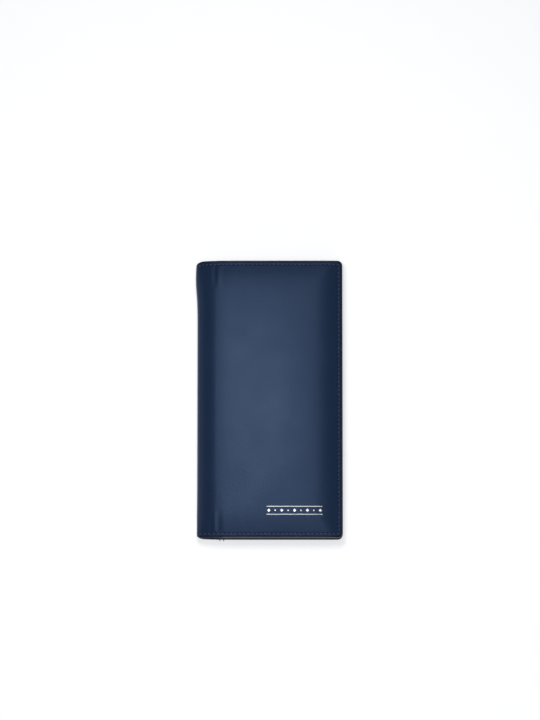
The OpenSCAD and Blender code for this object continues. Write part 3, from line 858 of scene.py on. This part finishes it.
# %% Turned strips
def turned_strip(foot, mouth, foot_level, mouth_level, thick, fold=3.0, swell=0.22):
    """The closed outline of a strip as (y, level) points. Its underside climbs in a line from the
    foot to the mouth; its face swells by swell within fold of the mouth and ends in a round lip."""
    way = 1 if mouth > foot else -1
    run = abs(mouth - foot)

    def climb(t):
        return foot_level + (mouth_level - foot_level) * t / run

    under = np.linspace(0, run, 12)
    turn = np.linspace(-np.pi / 2, np.pi / 2, 9)[1:-1]
    back = np.concatenate([np.linspace(0, fold * 2.2, 26), np.linspace(fold * 2.2, run, 8)[1:]])
    rise = swell * (1 - smooth((back - fold + 0.5) / 0.6))
    line = 0.1 * np.exp(-((back - fold - 0.3) / 0.22) ** 2)
    radius = (thick + swell) / 2
    top = climb(run - back) + thick + rise - line
    bottom = np.stack([under, climb(under)], axis=-1)
    lip = np.stack([run + radius * 0.8 * np.cos(turn),
                    mouth_level + radius + radius * np.sin(turn)], axis=-1)
    outline = np.concatenate([bottom, lip, np.stack([run - back, top], axis=-1)])
    return np.stack([foot + way * outline[:, 0], outline[:, 1]], axis=-1)


def carry(name, side, outline, left, right, material, bow=0.0, count=28):
    """An outline of (y, level) carried along x. The middle bows by that much in y."""
    x = packed(left, right, count)[:, None]
    hang = bow * (1 - ((2 * x - left - right) / (right - left)) ** 2)
    rings = inward(side, x + 0 * outline[None, :, 0], outline[None, :, 0] + hang,
                   outline[None, :, 1] + 0 * x)
    length = np.concatenate([[0], np.cumsum(np.linalg.norm(np.diff(outline, axis=0), axis=1))])
    places = np.stack(np.broadcast_arrays(x, length[None, :]), axis=-1).reshape(-1, 2)
    return tube(name, rings, material, cut=places, sharp=40)


print("strip helpers ready")

# %% [markdown]
# Each pocket takes its place and its depth from its own solid in the frame, so four lie on the back
# page and eight on the front one, in even steps.

# %% Card pockets
SLOT_LEATHER = 0.4
slots = {"back": 4, "front": 8}
for side, count in slots.items():
    for number in range(1, count + 1):
        node = f"{side}_card_slot_{number}"
        low, high = box_mm(node)
        deep = high[2] - low[2] - SLOT_LEATHER
        outline = turned_strip(low[1], high[1] - 0.2, PAGE_FACE + 0.02, PAGE_FACE + 0.02 + deep,
                               SLOT_LEATHER - 0.02)
        strip = carry(node + "_leather", side, outline, low[0] + 0.6, high[0] - 0.3,
                      inner_leather, bow=-0.25)
        body(strip, f"{side}_half", "inner_leather", node)
print("card pockets", slots)

# %% [markdown]
# ## Identity window
# A leather frame holds a clear film over the page. It is a ring: an outer and an inner outline with
# round corners, and between them a section that is flat in the middle and turned over at the rims.

# %% Outline with round corners
def round_outline(low, high, radius, arc=9, side=12):
    """Points round a rectangle with round corners, the same number for any size."""
    points = []
    corners = [(high[0], high[1], 0), (low[0], high[1], 1), (low[0], low[1], 2), (high[0], low[1], 3)]
    for x, y, quarter in corners:
        turn = (quarter + np.linspace(0, 1, arc)) * np.pi / 2
        middle = np.array([x, y]) - radius * np.sign(np.array([x, y]) - (np.array(low) + high) / 2)
        points.append(middle + radius * np.stack([np.cos(turn), np.sin(turn)], axis=-1))
    parts = []
    for k in range(4):
        parts.append(points[k][:-1])
        start, end = points[k][-1], points[(k + 1) % 4][0]
        parts.append(start + (end - start) * np.linspace(0, 1, side, endpoint=False)[:, None])
    return np.concatenate(parts)


print("outline helper ready")

# %% [markdown]
# The frame's section rises from the page, dips at a pressed line and turns over at the window. The
# film is a thin wall with a very slight wave, so that its reflection isn't a perfect mirror's.

# %% The window's frame, stitches and film
window_low, window_high = box_mm("id_window_frame")
BORDER = 7.0
outer = round_outline(window_low[:2] + [0.6, 0.3], window_high[:2] - [0.3, 0.6], 1.5)
inner = round_outline(window_low[:2] + BORDER, window_high[:2] - BORDER, 3.0)
base_level, face_level = THICK - window_high[2], THICK - window_low[2]
section = np.array([[0, 0], [0, 0.5], [0.03, 0.86], [0.1, 1], [0.5, 0.94], [0.62, 0.86], [0.66, 1.0],
                    [0.72, 1.08], [0.9, 1.06], [0.97, 0.85], [1, 0.5], [0.99, 0]])
rings = outer[:, None] + (inner - outer)[:, None] * section[None, :, :1]
level = base_level + (face_level - base_level) * section[None, :, 1] + 0 * rings[..., 0]
ring = tube("id_window_leather", inward("front", rings[..., 0], rings[..., 1], level), inner_leather,
            closed=True, cut=rings.reshape(-1, 2))
body(ring, "front_half", "inner_leather", "id_window_frame")
line = round_outline(window_low[:2] + BORDER - 1.4, window_high[:2] - BORDER + 1.4, 3.6, side=60)
line = inward("front", line[::-1, 0], line[::-1, 1], face_level + 0.02)
for piece in sew("id_window", line, 0 * line - [0, 0, 1]):
    body(piece, "front_half", "thread")
film_low, film_high = box_mm("id_window_film")
fx, fy = np.meshgrid(packed(film_low[0] + 1, film_high[0] - 1, 30),
                     packed(film_low[1] + 1, film_high[1] - 1, 24), indexing="ij")
wave = 0.03 * np.sin(fx / 9) * np.sin(fy / 7 + 1)
pane = shell("id_window_clear_film", inward("front", fx, fy, PAGE_FACE + 0.06 + wave),
             inward("front", fx, fy, PAGE_FACE + 0.24 + wave), film)
body(pane, "front_half", "window_film", "id_window_film")
print("window", (window_high - window_low).round(1))

# %% [markdown]
# ## Coin pocket
# The coin pocket is a leather panel sewn to the back page on three sides and puffed a little by the
# room behind it. Its top edge and the welt above it are turned, and the zip shows between them. The
# panel's height is a plateau with soft sides, and each turned edge is the strip used before.

# %% Faces of the panel and the welt
panel_low, panel_high = box_mm("coin_pocket_panel")
welt_low, welt_high = box_mm("zip_welt")
COIN_LEATHER, PUFF = 0.8, 0.10
RIM_LEVEL = PAGE_FACE + 0.4
coin_level = panel_high[2] - COIN_LEATHER - 0.06


def side_climb(x, low, high):
    """0 at the sewn left and right rims, and 1 from about 6 mm in."""
    return smooth((x - low[0] - 1.2) / 5) * smooth((high[0] - x - 1.2) / 5)


def turned_edge(free, width, rise, soft):
    """The relief at that distance from a free edge: raised by rise over width, round at the rim."""
    return rise * (1 - smooth((free - width) / soft)) - 0.3 * np.exp(-(free / 0.25) ** 2)


def pocket_face(x, y, low, high):
    """The pocket's level, a plateau with soft sides and a sine's swell, and its relief: the top
    edge is turned over and a pressed line runs beside it."""
    sewn, free = y - low[1], high[1] - y
    climb = side_climb(x, low, high) * smooth((sewn - 1.2) / 5)
    swell = np.sin(np.pi * (x - low[0]) / (high[0] - low[0])) * np.sin(
        np.pi * np.clip(sewn / (high[1] - low[1]) / 1.15, 0, 1))
    pressed = 0.1 * np.exp(-((free - 3.3) / 0.22) ** 2)
    level = RIM_LEVEL + (coin_level - RIM_LEVEL) * climb + PUFF * swell
    return level, turned_edge(free, 2.8, 0.10, 0.6) - pressed


def welt_face(x, y, low, high):
    """The welt's level, high at its free lower edge and down on the page at its upper one."""
    free = y - low[1]
    climb = side_climb(x, low, high) * (1 - smooth((free - 2.6) / 4))
    return RIM_LEVEL + (coin_level - RIM_LEVEL) * climb, turned_edge(free, 2.2, 0.14, 0.5)


print("coin pocket's leather at", coin_level.round(2), "mm")

# %% [markdown]
# The pocket and the welt differ only in the function for their face. The lining behind the pocket is
# a sheet of cloth that lies almost flat.

# %% Leather and lining of the coin pocket
for name, node, face_of, rows, foot in (("coin_pocket", "coin_pocket_panel", pocket_face, 60, 0.3),
                                        ("zip_welt", "zip_welt", welt_face, 24, 0.2)):
    low, high = box_mm(node)
    low, high = low + [0.6, foot, 0], high - [0.3, 0.2, 0]
    x, y = np.meshgrid(packed(low[0], high[0], 80, 0.8), packed(low[1], high[1], rows, 0.8),
                       indexing="ij")
    level, relief = face_of(x, y, low, high)
    under = inward("back", x, y, level)
    face = inward("back", x, y, level + COIN_LEATHER + relief)
    patch = shell(f"{name}_leather", under, face, inner_leather, np.stack([x, y], axis=-1), sharp=60)
    body(patch, "back_half", "inner_leather", node)

lining_low, lining_high = box_mm("coin_pocket_lining")
lx, ly = np.meshgrid(packed(lining_low[0] + 0.8, lining_high[0] - 0.8, 30),
                     packed(lining_low[1] + 0.8, lining_high[1] - 0.8, 26), indexing="ij")
lie = 0.03 * np.sin(lx / 5) * np.sin(ly / 6)
cloth = shell("coin_pocket_cloth", inward("back", lx, ly, PAGE_FACE + 0.03),
              inward("back", lx, ly, lining_high[2] - 0.04 + lie), lining_cloth,
              np.stack([lx, ly], axis=-1))
body(cloth, "back_half", "lining", "coin_pocket_lining")
print("coin pocket", (panel_high - panel_low).round(1))

# %% [markdown]
# ## Sewing inside
# The needle that sews the edge goes through whatever lies on the page there, so the inner row climbs
# over the pockets' ends. Its height is the highest face at each place, and the same function serves
# the rows beside the spine.

# %% Rows over the pages and pockets
def pocket_level(side, x, y):
    """The highest face on a page at x and y: its own, or that of what covers it."""
    level = 0 * y + PAGE_FACE
    for number in range(1, slots[side] + 1):
        low, high = box_mm(f"{side}_card_slot_{number}")
        climb = (y - low[1]) / (high[1] - low[1]) * (high[2] - low[2] - SLOT_LEATHER)
        over = (y > low[1]) & (y < high[1]) & (x > low[0]) & (x < high[0] - 0.3)
        level = np.where(over, np.maximum(level, PAGE_FACE + climb + SLOT_LEATHER), level)
    rims = {"front": [(window_low, window_high, face_level)],
            "back": [(low, high, RIM_LEVEL + COIN_LEATHER)
                     for low, high in ((panel_low, panel_high), (welt_low, welt_high))]}
    for low, high, height in rims[side]:
        over = (y > low[1]) & (y < high[1]) & (x > low[0]) & (x < high[0] - 0.3)
        level = np.where(over, height, level)
    return level


SIDE_X = PAGE_LEFT + 2.0
ROW_ENDS = {"back": (-88.5, 53.5), "front": (-88.5, 88.0)}
for side, ends in ROW_ENDS.items():
    y = np.linspace(*ends, 200)
    rows = {"page": seam[:, :2], "pocket_side": np.stack([0 * y + SIDE_X, y], axis=-1)}
    for word, spots in rows.items():
        level = pocket_level(side, spots[:, 0], spots[:, 1])
        line = inward(side, spots[:, 0], spots[:, 1], level)
        if side == "front":
            line = line[::-1]
        for piece in sew(f"{side}_{word}", line, 0 * line - [0, 0, SIDES[side][0]]):
            body(piece, f"{side}_half", "thread")
print("inner rows sewn")

# %% [markdown]
# ## Zip
# Each tape is a woven strip with a thicker cord at its inner edge, and the teeth clamp on that cord
# in turn. A tooth is a small rounded block with a narrower head, so it is drawn once from three
# squared ellipses and repeated by an array operation, like the stitches.

# %% Tapes
TOOTH_PITCH = 1.6
for part, way in (("upper", 1), ("lower", -1)):
    low, high = box_mm(f"zip_tape_{part}")
    inner_edge, outer_edge = (low[1], high[1]) if way > 0 else (high[1], low[1])
    middle = (low[2] + high[2]) / 2
    t = np.linspace(0, 2 * np.pi, 9)[1:-1]
    cord = np.stack([inner_edge + way * (0.42 - 0.42 * np.cos(t)), middle - 0.36 * np.sin(t)], axis=-1)
    flat_top = np.array([[outer_edge, middle - 0.17], [outer_edge, middle + 0.17]])
    outline = np.concatenate([cord, [[inner_edge + way * 0.95, middle + 0.17]], flat_top[::-1],
                              [[inner_edge + way * 0.95, middle - 0.17]]])
    tape = carry(f"zip_tape_{part}_cloth", "back", outline, low[0], high[0], tape_cloth, count=12)
    body(tape, "back_half", "zip_tape", f"zip_tape_{part}")


print("tapes", TOOTH_PITCH, "mm a tooth")

# %% [markdown]
# Each tooth is a clamp, a neck and a head in one, and the two rows point at each other.

# %% Teeth, stops and slider
def tooth_shape():
    """A rounded block along y: squared ellipses at six places, whose size makes a clamp and head."""
    turn = np.linspace(0, 2 * np.pi, 8, endpoint=False) + np.pi / 8
    places = np.array([[-1.05, 0.34, 0.40], [-0.95, 0.42, 0.5], [0.35, 0.40, 0.5], [0.6, 0.30, 0.42],
                       [0.95, 0.34, 0.46], [1.02, 0.24, 0.36]])
    across, up = squared(np.cos(turn), 0.6), squared(np.sin(turn), 0.6)
    points = [np.stack([wide * across, 0 * turn + y, high * up], axis=-1) for y, wide, high in places]
    caps = [np.arange(8)[None, :], np.arange(8)[None, ::-1] + 40]
    return np.concatenate(points), [grid_faces(6, 8, wrap=True), *caps]


for part, way in (("upper", -1), ("lower", 1)):
    low, high = box_mm(f"zip_teeth_{part}")
    count = round((high[0] - low[0]) / TOOTH_PITCH + 0.5)
    x = np.linspace(low[0] + 0.35, high[0] - 0.35, count)
    middle = (low + high) / 2
    places = np.stack([x, 0 * x + middle[1], 0 * x + middle[2]], axis=-1)
    half = (high[1] - low[1]) / 2
    one = np.ones_like(x)[:, None]
    row = scatter(f"zip_teeth_{part}_metal", *tooth_shape(), places, one * [1, 0, 0],
                  one * [0, way * half, 0], one * [0, 0, high[2] - low[2]], nickel)
    body(row, "back_half", "zip_metal", f"zip_teeth_{part}")
    print(part, count, "teeth")

for node in ("zip_stops", "zip_slider"):
    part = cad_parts[node]
    part.data.materials.clear()
    part.data.materials.append(nickel)

# %% [markdown]
# The pull is a flat tongue with a hole at its post. Its outline is an egg whose width grows towards
# the free end, and one ring of points runs round the metal from the outline to the hole and back.

# %% Pull
PULL_NECK = 1.5
pull_low, pull_high = box_mm("zip_pull")
pull_y = (pull_low[1] + pull_high[1]) / 2
length, half_wide = pull_high[0] - pull_low[0], (pull_high[1] - pull_low[1]) / 2
t = np.linspace(0, 2 * np.pi, 48, endpoint=False)
ahead = (1 - np.cos(t)) / 2
waist = PULL_NECK + (half_wide - PULL_NECK) * smooth(ahead / 0.75)
outline = np.stack([pull_low[0] + length * ahead, pull_y + waist * squared(np.sin(t), 0.55)], axis=-1)
hole_centre = np.array([pull_low[0] + 1.45, pull_y])
hole = hole_centre + 0.62 * np.stack([-np.cos(t), np.sin(t)], axis=-1)
section = np.array([[0.0, 0.5], [0.02, 0.8], [0.07, 1.0], [0.9, 1.0], [0.97, 0.9], [1, 0.7], [1, 0.3],
                    [0.97, 0.1], [0.9, 0.0], [0.07, 0.0], [0.02, 0.2]])
flat_ring = outline[:, None] + (hole - outline)[:, None] * section[None, :, :1]
level = pull_low[2] + (pull_high[2] - pull_low[2]) * section[None, :, 1] + 0 * flat_ring[..., 0]
rings = np.concatenate([flat_ring, level[..., None]], axis=-1)
pull = tube("zip_pull_metal", rings, nickel, closed=True)
body(pull, "pull", "zip_metal", "zip_pull")
print("pull", round(length, 1), "mm long")

# %% [markdown]
# ## Foil ornament
# A thin silver foil is pressed into the front cover's lower right: here two fine rules and a row of
# small lozenges, a bookbinder's plain border. Each line is a closed band a few hundredths of a
# millimetre thick, which takes its height from the cover's own formula.

# %% Foil bands
FOIL_UNDER, FOIL_OVER = -0.02, 0.035


def foil_band(name, outer, inner):
    """A closed band between two outlines of (x, y) points, laid on the front cover."""
    def lay(points, lift):
        return np.stack([points[:, 0], points[:, 1],
                         level_at("front", points[:, 0], points[:, 1]) + lift], axis=-1)
    rings = np.stack([lay(outer, FOIL_UNDER), lay(outer, FOIL_OVER), lay(inner, FOIL_OVER),
                      lay(inner, FOIL_UNDER)], axis=1)
    piece = tube(name, rings, foil, closed=True, sharp=40)
    return body(piece, "front_half", "zip_metal")


print("foil", round(FOIL_OVER - FOIL_UNDER, 3), "mm thick")

# %% [markdown]
# The border is two rules and nine small lozenges, large and small in turn.

# %% Rules and lozenges
ORNAMENT, HALF_LONG, HALF_TALL = np.array([16.2, -74.0]), 18.2, 2.6


def lozenge(centre, half_x, half_y, count=16):
    """A lozenge about a point: |x| / half_x + |y| / half_y = 1."""
    t = np.linspace(0, 4, count, endpoint=False)
    x, y = 1 - np.abs(((t + 2) % 4) - 2), 1 - np.abs(((t + 1) % 4) - 2)
    return ORNAMENT + centre + np.stack([half_x * x, half_y * y], axis=-1)


def rule(y, reach, thick, count=40):
    """The outline of a fine bar that reaches as far to both sides of the ornament's centre."""
    x = np.linspace(-reach, reach, count)
    up = np.stack([x, 0 * x + y + thick / 2], axis=-1)
    return ORNAMENT + np.concatenate([up, (up - [0, thick])[::-1]])


RULE_THICK = 0.38
for word, y in (("upper", HALF_TALL), ("lower", -HALF_TALL)):
    bar = rule(y, HALF_LONG, RULE_THICK)
    heart = bar.mean(axis=0)
    foil_band(f"foil_rule_{word}", bar, heart + (bar - heart) * [0.99, 0.1])
LOZENGES, LOZENGE_STEP, LARGE, SMALL = 9, 4.2, 1.1, 0.55
for number in range(LOZENGES):
    centre = [(number - LOZENGES // 2) * LOZENGE_STEP, 0]
    size = LARGE if number % 2 == 0 else SMALL
    foil_band(f"foil_lozenge_{number + 1}", lozenge(centre, size, size),
              lozenge(centre, 0.1 * size, 0.1 * size))
print("ornament", 2 * HALF_LONG, "mm wide")

# %% [markdown]
# Where the sewing starts and stops, two short ends of thread are left under the bottom edge. Each is
# a round peg whose radius shrinks to nothing at its tip. They take the near-black painted shade,
# not the thread's navy, for the shadow under the edge.

# %% Thread ends
t = np.linspace(0, 1, 9)[:, None]
turn = np.linspace(0, 2 * np.pi, 8, endpoint=False)[None, :]
END_RADIUS = 0.33
for number, x in ((1, -32.6), (2, -30.1)):
    radius = END_RADIUS * np.sqrt(np.clip(1.02 - t ** 3, 0, 1))
    rings = np.stack([x + radius * np.cos(turn), -TOP - 0.1 - 1.0 * t + 0 * turn,
                      EDGE_DROP + 0.9 + radius * np.sin(turn)], axis=-1)
    # Painted shade: the ends are near-black for the shadow under the bottom edge.
    body(tube(f"thread_end_{number}", rings, painted_shade), "back_half", "thread")
print("thread ends", number)

# %% [markdown]
# ## Room, light and camera
# The wallet lies on a plain white table. Dark leather shows little but what it reflects, so a small
# soft panel hangs where the camera's line mirrors off the cover, and the room around it is dim. Two
# panels further off light the slopes at both ends, and two fills reach the painted edges.

# %% Table
TABLE_HALF, TABLE_THICK, TABLE_GAP = 2500, 20, 0.05
slab = np.array([[x, y, z] for x in (-TABLE_HALF, TABLE_HALF) for y in (-TABLE_HALF, TABLE_HALF)
                 for z in (-TABLE_THICK - TABLE_GAP, -TABLE_GAP)], float)
slab_faces = np.array([[0, 1, 3, 2], [4, 6, 7, 5], [0, 4, 5, 1], [2, 3, 7, 6], [0, 2, 6, 4],
                       [1, 5, 7, 3]])
white_table = finish_of("white_table", (0.86, 0.86, 0.87), (0.90, 0.90, 0.90), (0.6, 0.7), grain,
                        0.3, 0.0, flat=False, Emission_Color=(1, 1, 1, 1), Emission_Strength=0.55)
floor = solid("floor", slab, [slab_faces], white_table)

print("table", 2 * TABLE_HALF * MM, "m wide")

# %% [markdown]
# The camera looks down from 81 degrees, square to the wallet, from far off with a long lens, so its
# edges stay parallel.

# %% Camera
centre = np.array([0.0, 0.0, THICK / 2]) * MM
aim = centre + [0.0002, 0.0265, 0]
ELEVATION, DISTANCE, FIELD = math.radians(81), 3.5, 0.4727
camera = bpy.data.objects.new("camera", bpy.data.cameras.new("camera"))
bpy.context.scene.collection.objects.link(camera)
away = np.array([0, -math.cos(ELEVATION), math.sin(ELEVATION)])
camera.location = aim + DISTANCE * away
camera.rotation_euler = (math.pi / 2 - ELEVATION, 0, 0)
camera.data.lens = 36 * DISTANCE / FIELD
camera.data.clip_start, camera.data.clip_end = 0.05, 40
bpy.context.scene.camera = camera

print("lens", round(camera.data.lens), "mm")

# %% [markdown]
# Each light is a rectangle that faces a target. The panel overhead is small and near, so its mirror
# image fades towards the ends of the wallet.

# %% Lights
def panel(name, place, target, size, power):
    """A soft light that faces target: size is its width and length, and its power is in watts."""
    lamp = bpy.data.lights.new(name, "AREA")
    lamp.shape, lamp.energy = "RECTANGLE", power
    lamp.size, lamp.size_y = size
    light = bpy.data.objects.new(name, lamp)
    bpy.context.scene.collection.objects.link(light)
    light.location = place
    direction = np.array(target) - np.array(place)
    light.rotation_euler = mathutils.Vector(direction).to_track_quat("-Z", "Y").to_euler()
    return light


panel("overhead_panel", (-0.035, 0.062, 0.5), (-0.012, -0.01, 0), (0.12, 0.15), 0.62)
panel("front_panel", (-0.03, -0.30, 1.4), centre, (0.24, 0.24), 1.3)
panel("rear_panel", (-0.03, 0.50, 1.0), centre, (0.24, 0.30), 0.55)
panel("front_fill", (0.1, -1.2, 0.45), centre, (0.9, 0.4), 3.6)
panel("left_fill", (-1.3, 0.1, 0.55), centre, (0.5, 0.5), 0.9)

print("lights", [light.name for light in bpy.data.lights])

# %% [markdown]
# The room itself is a plain dim grey for reflections, and pale where the camera looks past the table.

# %% Room
world = bpy.data.worlds.new("studio")
world.use_nodes = True
bpy.context.scene.world = world
sky = world.node_tree
ray = sky.nodes.new("ShaderNodeLightPath").outputs["Is Camera Ray"]
tint = add(sky, "ShaderNodeMix", {"data_type": "RGBA"}, n0=ray, n6=(0.16, 0.17, 0.19, 1),
           n7=(0.86, 0.87, 0.88, 1))
sky.links.new(tint.outputs[2], sky.nodes["Background"].inputs["Color"])
bpy.context.scene.view_settings.view_transform = "Standard"
print("room", world.name)
